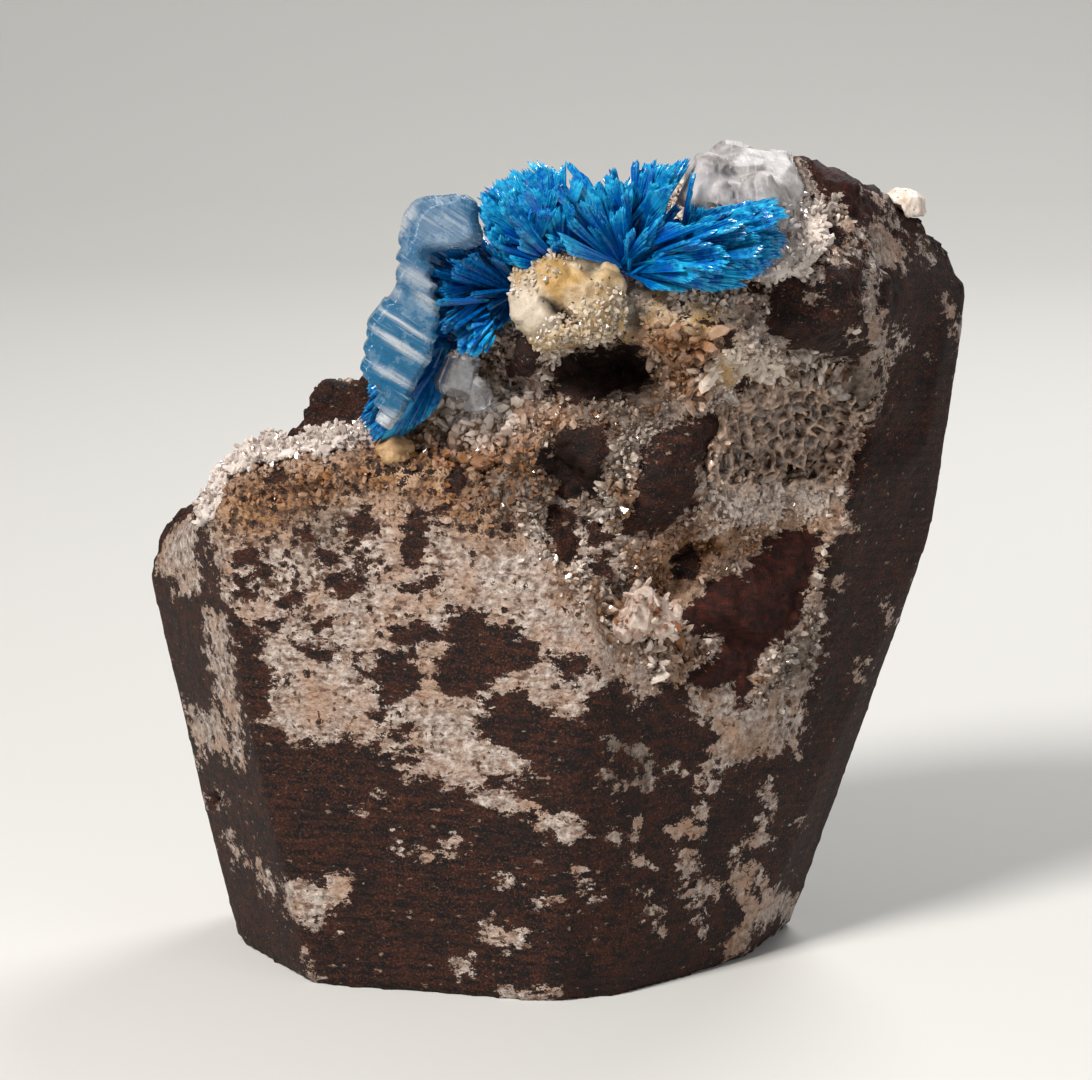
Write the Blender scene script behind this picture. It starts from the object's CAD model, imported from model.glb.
"""Cavansite cluster: a trimmed block of basalt breccia with blue cavansite sprays, stilbite and zeolite crystals.

The sections follow the specimen as it grew: the block first, then its crusts, then the crystals on top of it.
Lengths are in millimetres until a mesh is made. X runs right, Y away from the viewer and Z up.
"""

import math
import random

import bmesh
import bpy
import numpy as np
from mathutils import Euler, Matrix, Vector, noise


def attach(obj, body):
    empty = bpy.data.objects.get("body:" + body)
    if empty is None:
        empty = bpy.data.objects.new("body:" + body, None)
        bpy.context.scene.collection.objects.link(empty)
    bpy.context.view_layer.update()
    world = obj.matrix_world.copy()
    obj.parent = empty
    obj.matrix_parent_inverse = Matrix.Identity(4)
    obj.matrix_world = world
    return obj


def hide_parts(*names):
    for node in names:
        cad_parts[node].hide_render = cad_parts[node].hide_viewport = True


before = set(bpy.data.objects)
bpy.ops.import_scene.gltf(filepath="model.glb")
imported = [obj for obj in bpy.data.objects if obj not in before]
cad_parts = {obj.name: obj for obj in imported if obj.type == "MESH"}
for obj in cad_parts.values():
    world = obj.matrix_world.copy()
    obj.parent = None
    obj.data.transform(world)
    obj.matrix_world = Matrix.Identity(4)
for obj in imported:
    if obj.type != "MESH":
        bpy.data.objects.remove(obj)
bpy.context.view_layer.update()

# The block: altered basalt breccia, brown-black lava fragments cemented by white to tan zeolite.
# Its foot, left and lower front were sawn flat, its upper front was broken open along the cement.
# The marks of the front are laid out as one sees them from a little above, in steps of 0.07 mm right and down.
MM = 0.001
MIDDLE = np.array([0.855, 8.345, 0.0])
EYE_RISE = math.radians(11.0)
EYE_AWAY = 430.0
EYE_AIM = np.array([0.0, 0.0, 31.0])
EYE = EYE_AIM + EYE_AWAY * np.array([0.0, -math.cos(EYE_RISE), math.sin(EYE_RISE)])
STEP = 0.07
FRONT_MIDDLE = np.array([546.0, 540.0])
BLOCK_GRAIN = 0.57

# Cement as it is seen on the front: outlines of areas, then veins with half their width.
CEMENT_AREAS = {
    "broken front and sawn upper left": [
        (196, 560), (200, 520), (213, 485), (237, 455), (300, 440), (365, 440), (420, 400), (450, 350), (500, 320),
        (540, 240), (620, 250), (650, 190), (672, 140), (700, 130), (800, 135), (812, 175), (835, 212), (850, 228),
        (866, 262), (880, 300), (886, 340), (893, 365), (880, 400), (862, 430), (852, 460), (846, 490), (850, 530),
        (830, 545), (822, 570), (824, 625), (815, 676), (802, 700), (801, 730), (798, 754), (783, 748), (768, 754),
        (750, 760), (726, 763), (712, 778), (702, 781), (708, 755), (716, 735), (706, 722), (690, 706), (687, 686),
        (660, 683), (651, 700), (636, 702), (621, 682), (611, 680), (590, 694), (582, 715), (556, 709), (532, 703),
        (523, 688), (485, 700), (482, 715), (473, 733), (503, 753), (529, 760), (528, 772), (506, 777), (490, 772),
        (482, 790), (453, 788), (429, 777), (400, 777), (392, 760), (385, 755), (368, 742), (336, 739), (306, 744),
        (285, 735), (262, 716), (274, 680), (262, 640), (236, 610), (214, 590),
    ],
    "patch low at the left": [
        (283, 880), (306, 882), (324, 885), (327, 874), (344, 877), (356, 882), (344, 900), (330, 912), (327, 923),
        (306, 923), (288, 918), (287, 897),
    ],
    "end of the slanting vein": [(544, 822), (556, 818), (568, 814), (584, 822), (586, 834), (572, 843), (556, 838)],
    "side face, upper": [
        (150, 548), (176, 520), (203, 508), (198, 540), (196, 590), (180, 600), (168, 570), (156, 575),
    ],
    "side face, middle": [(206, 606), (226, 618), (238, 700), (246, 768), (236, 762), (228, 720), (214, 690)],
    "side face, lower": [
        (185, 706), (204, 716), (214, 700), (232, 742), (232, 762), (220, 752), (208, 742), (200, 765),
    ],
    "wedge at the lower right": [
        (732, 871), (750, 866), (762, 868), (771, 886), (798, 898), (795, 919), (786, 931), (780, 913), (762, 925),
        (744, 949), (729, 964), (718, 966), (729, 940), (741, 928), (744, 907), (729, 892),
    ],
    "pointed patch above the wedge": [(762, 818), (772, 842), (766, 846), (752, 843), (758, 830)],
    "patch left of the wedge": [(678, 856), (695, 850), (699, 862), (690, 872), (686, 881), (679, 870)],
    "hook low at the right": [(641, 893), (650, 893), (651, 906), (664, 912), (655, 919), (643, 922), (646, 908)],
    "low spot": [(479, 936), (487, 924), (500, 924), (506, 932), (528, 934), (530, 942), (518, 948), (500, 944)],
    "square spot": [(453, 957), (472, 956), (474, 972), (460, 976)],
    "light wedge at the right edge": [(954, 320), (965, 318), (962, 348), (957, 338)],
    "light mark on the right side": [(895, 326), (906, 334), (905, 352), (897, 345)],
    "vein blob by the white knob": [
        (870, 222), (882, 213), (890, 232), (899, 248), (905, 266), (886, 270), (870, 262),
    ],
}
CLASTS = {
    "upper right": [
        (801, 153), (831, 155), (844, 169), (864, 183), (876, 197), (884, 214), (874, 222), (864, 230), (852, 222),
        (833, 203), (821, 185), (809, 169),
    ],
    "big one at the right": [
        (823, 220), (835, 224), (844, 232), (854, 248), (862, 263), (864, 283), (865, 324), (870, 342), (866, 358),
        (854, 366), (840, 359), (823, 352), (803, 348), (787, 346), (780, 332), (766, 328), (769, 304), (766, 293),
        (748, 293), (748, 287), (766, 283), (770, 273), (782, 263), (789, 246), (791, 232), (803, 226), (815, 223),
    ],
    "small one under the tuft": [
        (512, 340), (530, 334), (539, 345), (537, 368), (525, 378), (508, 379), (504, 368), (515, 352),
    ],
    "hollow under the cream ball": [
        (548, 372), (565, 355), (600, 341), (640, 343), (655, 365), (658, 385), (640, 398), (610, 402), (575, 400),
        (552, 392),
    ],
    "dark one in the middle": [
        (552, 435), (570, 423), (608, 428), (607, 455), (602, 480), (598, 498), (575, 496), (560, 499), (552, 480),
        (530, 463), (540, 450),
    ],
    "dark one lower in the middle": [
        (543, 510), (560, 500), (578, 515), (580, 545), (570, 568), (556, 560), (545, 540),
    ],
    "dark one beside it": [(585, 524), (600, 518), (610, 535), (604, 546), (588, 542)],
    "dark one below": [(592, 556), (606, 553), (616, 572), (612, 588), (600, 582)],
    "sail": [
        (732, 410), (722, 430), (707, 453), (698, 470), (695, 499), (688, 513), (667, 532), (625, 535), (623, 518),
        (631, 505), (640, 470), (646, 442), (667, 430), (705, 413), (719, 406),
    ],
    "red": [
        (753, 553), (777, 532), (804, 526), (822, 535), (820, 553), (810, 574), (807, 592), (798, 625), (786, 640),
        (768, 652), (753, 676), (747, 709), (735, 706), (732, 691), (720, 688), (699, 691), (687, 683), (693, 670),
        (711, 658), (723, 643), (714, 634), (699, 637), (684, 622), (679, 607), (699, 592), (720, 577), (744, 571),
    ],
    "middle left": [
        (446, 604), (462, 601), (482, 606), (489, 625), (510, 624), (530, 640), (538, 655), (525, 668), (500, 678),
        (485, 692), (465, 700), (440, 696), (430, 670), (446, 650), (443, 630),
    ],
    "middle": [(543, 650), (560, 648), (585, 655), (603, 668), (590, 677), (565, 676), (550, 668)],
    "left edge": [(196, 530), (206, 522), (216, 555), (224, 600), (214, 606), (204, 580), (196, 555)],
    "left edge, lower": [
        (238, 650), (255, 645), (268, 668), (276, 690), (262, 722), (272, 740), (250, 735), (240, 700),
    ],
    "left edge, upper": [(230, 548), (247, 545), (262, 552), (276, 575), (268, 585), (250, 566), (234, 566)],
    "black crumbs by the milky crystals": [(733, 384), (744, 376), (757, 380), (758, 392), (744, 396), (735, 394)],
    "dark crumb over the sail": [(716, 326), (728, 322), (735, 332), (730, 341), (718, 337)],
    "dark crumbs under the rosette": [
        (678, 314), (690, 310), (700, 316), (710, 312), (711, 322), (696, 322), (681, 322),
    ],
    "dark hole in the vein": [(873, 364), (881, 361), (886, 370), (881, 377), (874, 374)],
    "hole in the wedge": [(751, 886), (757, 884), (760, 896), (754, 898)],
    "dark grey spot": [(671, 560), (684, 550), (700, 552), (701, 566), (690, 584), (674, 584)],
}
SMALL_CLASTS = [
    # Upper left.
    [(350, 512), (366, 505), (374, 520), (371, 545), (358, 546), (347, 530)],
    [(408, 516), (415, 506), (424, 516), (431, 537), (426, 558), (414, 565), (400, 556), (399, 528)],
    [(390, 583), (410, 577), (434, 575), (433, 586), (410, 592), (394, 591)],
    [(276, 594), (290, 587), (305, 590), (300, 606), (290, 614), (278, 606)],
    [(252, 622), (270, 621), (283, 619), (280, 630), (262, 634), (253, 632)],
    [(299, 622), (315, 616), (336, 618), (338, 630), (322, 638), (300, 632)],
    [(293, 640), (312, 644), (330, 652), (345, 648), (362, 652), (360, 663), (345, 660), (310, 658)],
    [(388, 634), (400, 620), (420, 616), (436, 626), (438, 640), (412, 646), (392, 645)],
    [(364, 672), (380, 654), (400, 648), (420, 660), (425, 680), (412, 696), (390, 700), (372, 690)],
    [(328, 580), (345, 572), (366, 578), (364, 592), (345, 598), (330, 592)],
    [(316, 556), (330, 548), (342, 558), (332, 568)],
    [(345, 551), (360, 555), (364, 567), (350, 565)],
    [(255, 566), (270, 561), (275, 580), (262, 587)],
    [(296, 531), (310, 529), (312, 541), (300, 542)],
    [(233, 575), (246, 580), (252, 600), (240, 602)],
    # In the white lobe.
    [(371, 714), (382, 705), (390, 712), (384, 724), (373, 724)],
    [(391, 728), (404, 724), (415, 730), (410, 739), (395, 738)],
    [(394, 752), (408, 749), (418, 758), (412, 766), (398, 764)],
    # Rim.
    [(259, 462), (272, 460), (288, 485), (286, 498), (272, 490)],
    [(406, 459), (418, 456), (428, 466), (420, 473), (409, 468)],
    [(451, 470), (464, 467), (471, 480), (462, 494), (450, 488)],
    [(482, 478), (494, 473), (500, 480), (490, 487)],
    [(439, 505), (447, 506), (446, 522), (439, 518)],
    [(500, 522), (509, 520), (513, 528), (506, 532)],
]
VEINS = [
    ([(482, 794), (503, 806), (520, 803), (534, 808), (542, 822)], 7.0),
    ([
        (834, 207), (850, 226), (864, 244), (872, 263), (868, 285), (868, 303), (874, 326), (880, 346), (887, 365),
    ], 6.0),
    ([(864, 183), (884, 197), (890, 216), (901, 240)], 3.0),
    ([(921, 212), (935, 235), (945, 250)], 3.5),
    ([(917, 240), (931, 263)], 2.5),
    ([(707, 781), (703, 810), (698, 826), (675, 834)], 6.0),
    ([(769, 787), (770, 806), (764, 826), (750, 842), (738, 858), (735, 880)], 4.0),
    ([(729, 877), (711, 889), (703, 904), (702, 931)], 3.5),
    ([(684, 896), (702, 883)], 4.5),
    ([(640, 821), (630, 840), (635, 860), (648, 863)], 2.5),
    ([(249, 862), (259, 868), (275, 897)], 4.0),
    ([(227, 838), (239, 859)], 3.0),
    ([(303, 956), (321, 988)], 3.0),
    ([(415, 848), (430, 856), (452, 854)], 3.0),
    ([(500, 880), (520, 880)], 2.0),
    ([(583, 885), (593, 901)], 4.0),
    ([(506, 992), (530, 999), (556, 992)], 4.0),
    ([(885, 598), (892, 622)], 2.5),
    ([(858, 680), (865, 661)], 3.5),
    ([(943, 299), (952, 312)], 3.0),
    ([(835, 520), (850, 528)], 6.0),
    ([(678, 715), (697, 720), (714, 729)], 2.0),
    ([(693, 694), (705, 703)], 4.0),
    ([(610, 745), (640, 752), (655, 780), (625, 785)], 5.0),
    ([(602, 770), (616, 786)], 4.0),
    ([(669, 760), (690, 774)], 3.0),
]
SPOTS = [
    (398, 853, 6), (398, 838, 4), (453, 841, 4), (337, 932, 3), (556, 900, 5), (578, 872, 6), (541, 907, 3),
    (615, 837, 4), (797, 823, 3), (839, 583, 4), (929, 358, 3), (215, 799, 7), (835, 256, 9), (812, 272, 12),
    (812, 297, 8), (853, 334, 5), (385, 558, 5), (662, 930, 3), (690, 905, 3), (380, 795, 3), (360, 812, 3),
]
# Tinted ground: tan and rusty cement, grey clear crystals, cream and white parts, and red-brown lava.
TAN_AREAS = {
    "rim of the ledge": [
        (205, 500), (240, 470), (300, 462), (380, 440), (430, 430), (470, 460), (520, 490), (510, 540), (470, 545),
        (440, 520), (400, 505), (350, 500), (290, 540), (240, 545), (212, 530),
    ],
    "right of the cream ball": [
        (600, 290), (660, 285), (735, 320), (735, 350), (690, 400), (650, 400), (660, 360), (600, 325),
    ],
    "between the hollows": [
        (530, 402), (560, 402), (600, 415), (640, 410), (600, 440), (540, 430), (490, 455), (470, 445),
    ],
    "brown vug": [
        (640, 530), (700, 520), (790, 515), (800, 530), (750, 550), (700, 585), (680, 620), (650, 640), (636, 600),
    ],
    "right of the peach crystals": [(655, 600), (690, 640), (700, 660), (680, 680), (660, 640)],
    "left of the big clast": [
        (755, 235), (790, 225), (790, 260), (765, 275), (750, 290), (735, 320), (715, 300), (745, 270),
    ],
    "yellow part of the lower right vein": [(736, 740), (772, 745), (765, 760), (740, 758)],
    "tip of the wedge": [(716, 940), (745, 925), (740, 955), (716, 970)],
    "right of the ledge": [(430, 436), (470, 428), (530, 440), (548, 470), (540, 505), (500, 505), (460, 475)],
    "below the pocket": [(700, 505), (740, 515), (790, 522), (845, 505), (852, 525), (790, 535), (700, 530)],
}
GREY_AREAS = {
    "pocket": [
        (700, 470), (720, 420), (745, 385), (800, 372), (860, 372), (885, 400), (860, 430), (848, 470), (830, 490),
        (710, 490),
    ],
    "middle": [(580, 405), (680, 395), (690, 420), (640, 445), (615, 470), (620, 510), (585, 515), (610, 450)],
    "left": [(500, 455), (550, 470), (550, 520), (500, 520), (470, 500)],
    "patch in the lower rock": [(598, 735), (640, 735), (662, 760), (655, 795), (600, 792)],
    "upper left": [(298, 522), (342, 515), (342, 548), (300, 548)],
    "vein at the lower right": [(780, 643), (815, 600), (825, 640), (815, 676), (780, 690), (765, 670)],
}
CREAM_AREAS = {
    "under the rosette": [
        (596, 300), (625, 288), (660, 298), (700, 300), (738, 318), (700, 332), (660, 326), (625, 338), (600, 336),
    ],
    "milky crystals": [
        (722, 345), (735, 338), (745, 352), (775, 350), (786, 365), (770, 382), (740, 384), (715, 380), (700, 372),
    ],
    "under the cream ball": [(515, 318), (560, 332), (600, 335), (590, 346), (545, 352), (520, 340)],
}
PALE_AREAS = {
    "milky crystals": CREAM_AREAS["milky crystals"],
    "beside the heulandite": [(436, 398), (470, 384), (520, 390), (545, 405), (520, 432), (480, 448), (440, 432)],
    "under the crown": [(768, 205), (800, 176), (832, 200), (815, 226), (790, 226), (772, 245)],
    "foot of the pocket": [(700, 502), (745, 488), (845, 486), (850, 520), (790, 530), (700, 526)],
    "under the cream ball": CREAM_AREAS["under the cream ball"],
    "under the right fan": [
        (604, 284), (640, 282), (670, 288), (735, 298), (740, 312), (700, 310), (660, 308), (620, 312),
    ],
    "between the rosette and the crown": [(652, 190), (690, 160), (716, 190), (722, 216), (690, 228), (656, 228)],
    "right of the dark hollow": [(536, 336), (552, 336), (556, 352), (546, 378), (534, 372)],
}
# Where dark crumbs crowd the cement, and how much.
CRUMB_AREAS = [
    (TAN_AREAS["rim of the ledge"], 1.0),
    ([(226, 515), (380, 503), (388, 560), (376, 600), (300, 606), (236, 600)], 0.85),
    ([(222, 600), (380, 596), (440, 590), (480, 690), (400, 760), (290, 745), (240, 680)], 0.3),
]
# A pit in the sawn side: its middle and radius in steps, and its depth in mm.
PIT, PIT_RADIUS, PIT_DEPTH = (215, 799), 8.0, 0.8
RED_AREAS = {"red clast": CLASTS["red"], "upper right clast": CLASTS["upper right"]}
BROKEN_FRONT = [
    (205, 505), (210, 470), (262, 430), (362, 300), (400, 180), (700, 130), (810, 145), (880, 180), (893, 330),
    (890, 400), (850, 470), (848, 540), (825, 600), (815, 690), (750, 690), (690, 695), (650, 665), (610, 620),
    (560, 580), (500, 528), (430, 505), (360, 498), (260, 505),
]
DARK_HOLLOWS = {
    "under the cream ball": CLASTS["hollow under the cream ball"],
    "in the middle": CLASTS["dark one in the middle"],
    "under the big clast": [(775, 335), (870, 345), (866, 372), (800, 358)],
}


def linear(code):
    """An sRGB hex colour in Blender's linear numbers."""
    parts = [int(code[i:i + 2], 16) / 255 for i in (1, 3, 5)]
    return tuple(c / 12.92 if c <= 0.04045 else ((c + 0.055) / 1.055) ** 2.4 for c in parts) + (1.0,)


def on_front(points):
    """Where points in mm are seen on the front, in steps right and down."""
    look = points - EYE
    away = look[:, 1] * math.cos(EYE_RISE) - look[:, 2] * math.sin(EYE_RISE)
    up = look[:, 1] * math.sin(EYE_RISE) + look[:, 2] * math.cos(EYE_RISE)
    return FRONT_MIDDLE + np.stack([look[:, 0], -up], axis=1) / away[:, None] * (EYE_AWAY / STEP)


def to_edge(spots, line, closed):
    """How far each spot is from a line of steps, in mm."""
    ends = np.array(line, float)
    nearest = np.full(len(spots), 1e9)
    for start, end in zip(ends, np.roll(ends, -1, axis=0) if closed else ends[1:]):
        run = end - start
        share = np.clip((spots - start) @ run / (run @ run), 0.0, 1.0)
        nearest = np.minimum(nearest, np.linalg.norm(spots - start - share[:, None] * run, axis=1))
    return nearest * STEP


def depth_inside(spots, outline):
    """How far each spot lies inside an outline, in mm, and below 0 outside it."""
    ends = np.array(outline, float)
    within = np.zeros(len(spots), bool)
    for start, end in zip(ends, np.roll(ends, -1, axis=0)):
        between = (start[1] > spots[:, 1]) != (end[1] > spots[:, 1])
        if between.any():
            at = start[0] + (spots[:, 1] - start[1]) * (end[0] - start[0]) / (end[1] - start[1] or 1.0)
            within ^= between & (spots[:, 0] < at)
    return to_edge(spots, outline, True) * np.where(within, 1.0, -1.0)


def ramp(values, start, end):
    """0 up to the start, 1 from the end on and even between. Where the end is the lower one, it is 1 below it."""
    return np.clip((values - start) / (end - start), 0.0, 1.0)


def share_inside(spots, outlines, soft):
    """1 inside any of the outlines, 0 outside, with an edge this soft in mm."""
    deepest = np.max([depth_inside(spots, outline) for outline in outlines], axis=0)
    return ramp(deepest, -soft, soft)


def lumps(points, size, seed=0.0, layers=1):
    """Smooth random values from about -1 to 1 at points in mm, with lumps of this size."""
    shift = Vector((seed, seed * 0.7, seed * 1.3))
    if layers == 1:
        return np.array([noise.noise(Vector(p) / size + shift) for p in points])
    return np.array([noise.fractal(Vector(p) / size + shift, 0.9, 2.1, layers) for p in points])


def merged_copy(node_name):
    """The CAD node's mesh in mm about the block's own drawing, its doubles merged."""
    bm = bmesh.new()
    bm.from_mesh(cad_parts[node_name].data)
    bmesh.ops.remove_doubles(bm, verts=bm.verts, dist=1e-7)
    for vertex in bm.verts:
        vertex.co = vertex.co / MM + Vector(MIDDLE)
    return bm


def in_scene(name, data):
    """A new object with this mesh, lamp or camera, linked to the scene."""
    obj = bpy.data.objects.new(name, data)
    bpy.context.scene.collection.objects.link(obj)
    return obj


def as_object(name, bm, smooth=True):
    """An object with this mesh, in mm about the block's own drawing for now."""
    mesh = bpy.data.meshes.new(name)
    bm.to_mesh(mesh)
    bm.free()
    mesh.polygons.foreach_set("use_smooth", [smooth] * len(mesh.polygons))
    return in_scene(name, mesh)


def plain_mesh(obj):
    """What an object's modifiers make, as a plain mesh. The object itself goes."""
    bpy.context.view_layer.update()
    graph = bpy.context.evaluated_depsgraph_get()
    mesh = bpy.data.meshes.new_from_object(obj.evaluated_get(graph), preserve_all_data_layers=True, depsgraph=graph)
    bpy.data.objects.remove(obj)
    return mesh


def remeshed(bm, grain):
    """The closed mesh again, in even small faces of this size."""
    obj = as_object("before remesh", bm)
    modifier = obj.modifiers.new("even faces", "REMESH")
    modifier.mode = "VOXEL"
    modifier.voxel_size = grain
    modifier.use_smooth_shade = True
    mesh = plain_mesh(obj)
    made = bmesh.new()
    made.from_mesh(mesh)
    bpy.data.meshes.remove(mesh)
    return made


def points_and_normals(bm):
    """The places and normals of a mesh's points."""
    bm.normal_update()
    return np.array([v.co for v in bm.verts]), np.array([v.normal for v in bm.verts])


def move_out(bm, points, normals, heights):
    """Moves a mesh's points from these places along these normals, by heights in mm."""
    for vertex, place in zip(bm.verts, points + normals * heights[:, None]):
        vertex.co = place
    bm.normal_update()


def keep_values(mesh, **values):
    """Stores one number for each vertex under each name, for the material or the growth to read."""
    for name, numbers in values.items():
        layer = mesh.attributes.get(name) or mesh.attributes.new(name, "FLOAT", "POINT")
        layer.data.foreach_set("value", np.asarray(numbers, np.float32))


def finish_piece(obj, slot, *nodes, material=None):
    """Brings a piece from mm to the frame, and ties it to the one body and to the CAD nodes it stands for."""
    obj.data.transform(Matrix.Scale(MM, 4) @ Matrix.Translation(-Vector(MIDDLE)))
    if material:
        obj.data.materials.clear()
        obj.data.materials.append(material)
    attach(obj, "root")
    if nodes:
        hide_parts(*nodes)


def add(tree, kind, links=None, **settings):
    """Adds a node with its settings. A link comes from a node's first live output, a socket or a plain value."""
    made = tree.nodes.new(kind)
    for name, value in settings.items():
        setattr(made, name, value)
    for key, value in (links or {}).items():
        if isinstance(value, bpy.types.Node):
            value = next(socket for socket in value.outputs if socket.enabled)
        if isinstance(value, bpy.types.NodeSocket):
            tree.links.new(value, made.inputs[key])
        else:
            made.inputs[key].default_value = value
    return made


MATH, MIX, RANGE, STORED = "ShaderNodeMath", "ShaderNodeMix", "ShaderNodeMapRange", "ShaderNodeAttribute"
NOISE, CELLS, MAPPING, BUMP = "ShaderNodeTexNoise", "ShaderNodeTexVoronoi", "ShaderNodeMapping", "ShaderNodeBump"


def new_material(name, **values):
    """A Principled material with these constant values, and the pattern's place in mm."""
    made = bpy.data.materials.new(name)
    made.use_nodes = True
    tree = made.node_tree
    shader = tree.nodes["Principled BSDF"]
    for key, value in values.items():
        shader.inputs[key.replace("_", " ")].default_value = value
    spot = add(tree, "ShaderNodeTexCoord").outputs["Object"]
    place = add(tree, MAPPING, {"Vector": spot, "Scale": (1 / MM, 1 / MM, 1 / MM), "Location": tuple(MIDDLE)})
    return made, tree, shader, place


def laid_over(tree, under, colour, pattern, low, high, most=1.0):
    """A colour over another, more and more of it as a pattern goes from low to high."""
    share = add(tree, RANGE, {0: pattern, 1: low, 2: high, 4: most})
    return add(tree, MIX, {0: share, 6: under, 7: linear(colour)}, data_type="RGBA")


def dress(tree, shader, colour, gloss=None, relief=None, strength=0.0, depth=0.0):
    """Gives a shader its colour, and where stated its roughness and a fine relief this deep in mm."""
    tree.links.new(colour.outputs[2], shader.inputs["Base Color"])
    if gloss:
        tree.links.new(gloss.outputs[0], shader.inputs["Roughness"])
    if relief:
        bump = add(tree, BUMP, {"Height": relief, "Strength": strength, "Distance": depth * MM})
        tree.links.new(bump.outputs["Normal"], shader.inputs["Normal"])


# The saw's arcs: their middle in mm, and their wave in radians for each mm, which sets them 0.65 mm apart.
SAW_MIDDLE = (-10.0, 0.0, -160.0)
SAW_WAVE = 9.6


def breccia_material():
    # Altered basalt, sawn or broken: dull red-brown and blue-black grains with a faint saw sheen.
    # Zeolite cement: sugary white to tan grains that catch small lights.
    made, tree, shader, place = new_material("basalt breccia, sawn and broken", Specular_IOR_Level=0.22)
    seen = {}
    for name in ("rock", "tan", "grey", "red", "hollow", "cream", "crumbs", "broken"):
        seen[name] = add(tree, STORED, attribute_name=name).outputs["Fac"]
    for name, size, detail, rough, stretch in (
        ("grain", 0.55, 4.0, 0.6, (1.0, 1.0, 1.0)), ("fine", 0.16, 3.0, 0.6, (1.0, 1.0, 1.0)),
        ("broad", 3.0, 3.0, 0.6, (1.0, 1.0, 1.0)), ("streaks", 0.9, 5.0, 0.68, (0.55, 0.8, 1.7)),
        ("edge", 1.0, 5.0, 0.72, (0.7, 0.9, 1.3)), ("flecks", 0.6, 3.0, 0.6, (0.6, 0.9, 1.3)),
    ):
        turned = add(tree, MAPPING, {"Vector": place, "Scale": stretch})
        seen[name] = add(tree, NOISE, {"Vector": turned, "Scale": 1 / size, "Detail": detail, "Roughness": rough})
    ragged = add(tree, MATH, {0: seen["fine"], 1: 1.1, 2: seen["rock"]}, operation="MULTIPLY_ADD")
    ragged = add(tree, MATH, {0: seen["edge"], 1: 4.4, 2: ragged}, operation="MULTIPLY_ADD")
    rock = add(tree, RANGE, {0: ragged, 1: 2.69, 2: 2.81})

    grounds = {}
    for name, grains, low, high, dark, light in (
        ("lava", "streaks", 0.44, 0.55, "#0f0b0a", "#33190f"), ("red", "grain", 0.35, 0.7, "#150705", "#3d160b"),
        ("white", "grain", 0.34, 0.66, "#6b574c", "#cbbdb2"), ("tan", "grain", 0.3, 0.7, "#46291a", "#a47b58"),
        ("grey", "grain", 0.3, 0.7, "#2b211b", "#8d7e72"), ("cream", "broad", 0.4, 0.6, "#b8935f", "#dccfbd"),
    ):
        grounds[name] = laid_over(tree, linear(dark), light, seen[grains], low, high)
    for name, grains, low, high, colour in (
        ("lava", "fine", 0.54, 0.66, "#593120"), ("lava", "fine", 0.44, 0.34, "#040303"),
        ("lava", "broad", 0.46, 0.85, "#0d0908"), ("lava", "flecks", 0.66, 0.7, "#7d6a5a"),
        ("red", "fine", 0.44, 0.34, "#080302"), ("red", "streaks", 0.5, 0.72, "#4a1c11"),
        ("white", "broad", 0.44, 0.7, "#a3826b"), ("white", "streaks", 0.56, 0.66, "#8c7462"),
        ("white", "flecks", 0.56, 0.66, "#6b4f40"), ("tan", "broad", 0.5, 0.7, "#c2a184"),
        ("tan", "streaks", 0.56, 0.66, "#8d673f"), ("tan", "fine", 0.42, 0.34, "#39241a"),
        ("grey", "streaks", 0.55, 0.65, "#6a5546"),
    ):
        grounds[name] = laid_over(tree, grounds[name], colour, seen[grains], low, high)
    lava = add(tree, MIX, {0: seen["red"], 6: grounds["lava"], 7: grounds["red"]}, data_type="RGBA")
    cement = grounds["white"]
    for name in ("tan", "grey", "cream"):
        cement = add(tree, MIX, {0: seen[name], 6: cement, 7: grounds[name]}, data_type="RGBA")

    # Dark crumbs of lava in the cement, about 0.7 and 0.35 mm: in one of ten places, and in half on the ledge's rim.
    for per_mm, colour in ((1.4, "#24130c"), (2.8, "#4f382a")):
        chips = add(tree, CELLS, {"Vector": place, "Scale": per_mm, "Randomness": 1.0})
        drawn = add(tree, "ShaderNodeSeparateColor", {0: chips.outputs["Color"]})
        often = add(tree, MATH, {0: seen["crumbs"], 1: 0.42, 2: drawn}, operation="MULTIPLY_ADD")
        worn = chips
        for name, much in (("fine", 1.6), ("grain", 1.4), ("crumbs", -0.14)):
            worn = add(tree, MATH, {0: seen[name], 1: much, 2: worn}, operation="MULTIPLY_ADD")
        crumb = add(tree, MATH, {
            0: add(tree, RANGE, {0: worn, 1: 1.9, 2: 1.82}), 1: add(tree, RANGE, {0: often, 1: 0.88, 2: 0.92}),
        }, operation="MULTIPLY")
        cement = add(tree, MIX, {0: crumb, 6: cement, 7: linear(colour)}, data_type="RGBA")
    cement = laid_over(tree, cement, "#5f4b40", seen["fine"], 0.41, 0.3, 0.8)
    surface = add(tree, MIX, {0: rock, 6: cement, 7: lava}, data_type="RGBA")
    surface = add(tree, MIX, {0: seen["hollow"], 6: surface, 7: linear("#0e0a08")}, data_type="RGBA")
    gloss = add(tree, MATH, {0: rock, 1: 0.25, 2: 0.3}, operation="MULTIPLY_ADD")
    gloss = add(tree, MATH, {0: seen["fine"], 1: 0.3, 2: gloss}, operation="MULTIPLY_ADD")

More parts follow.
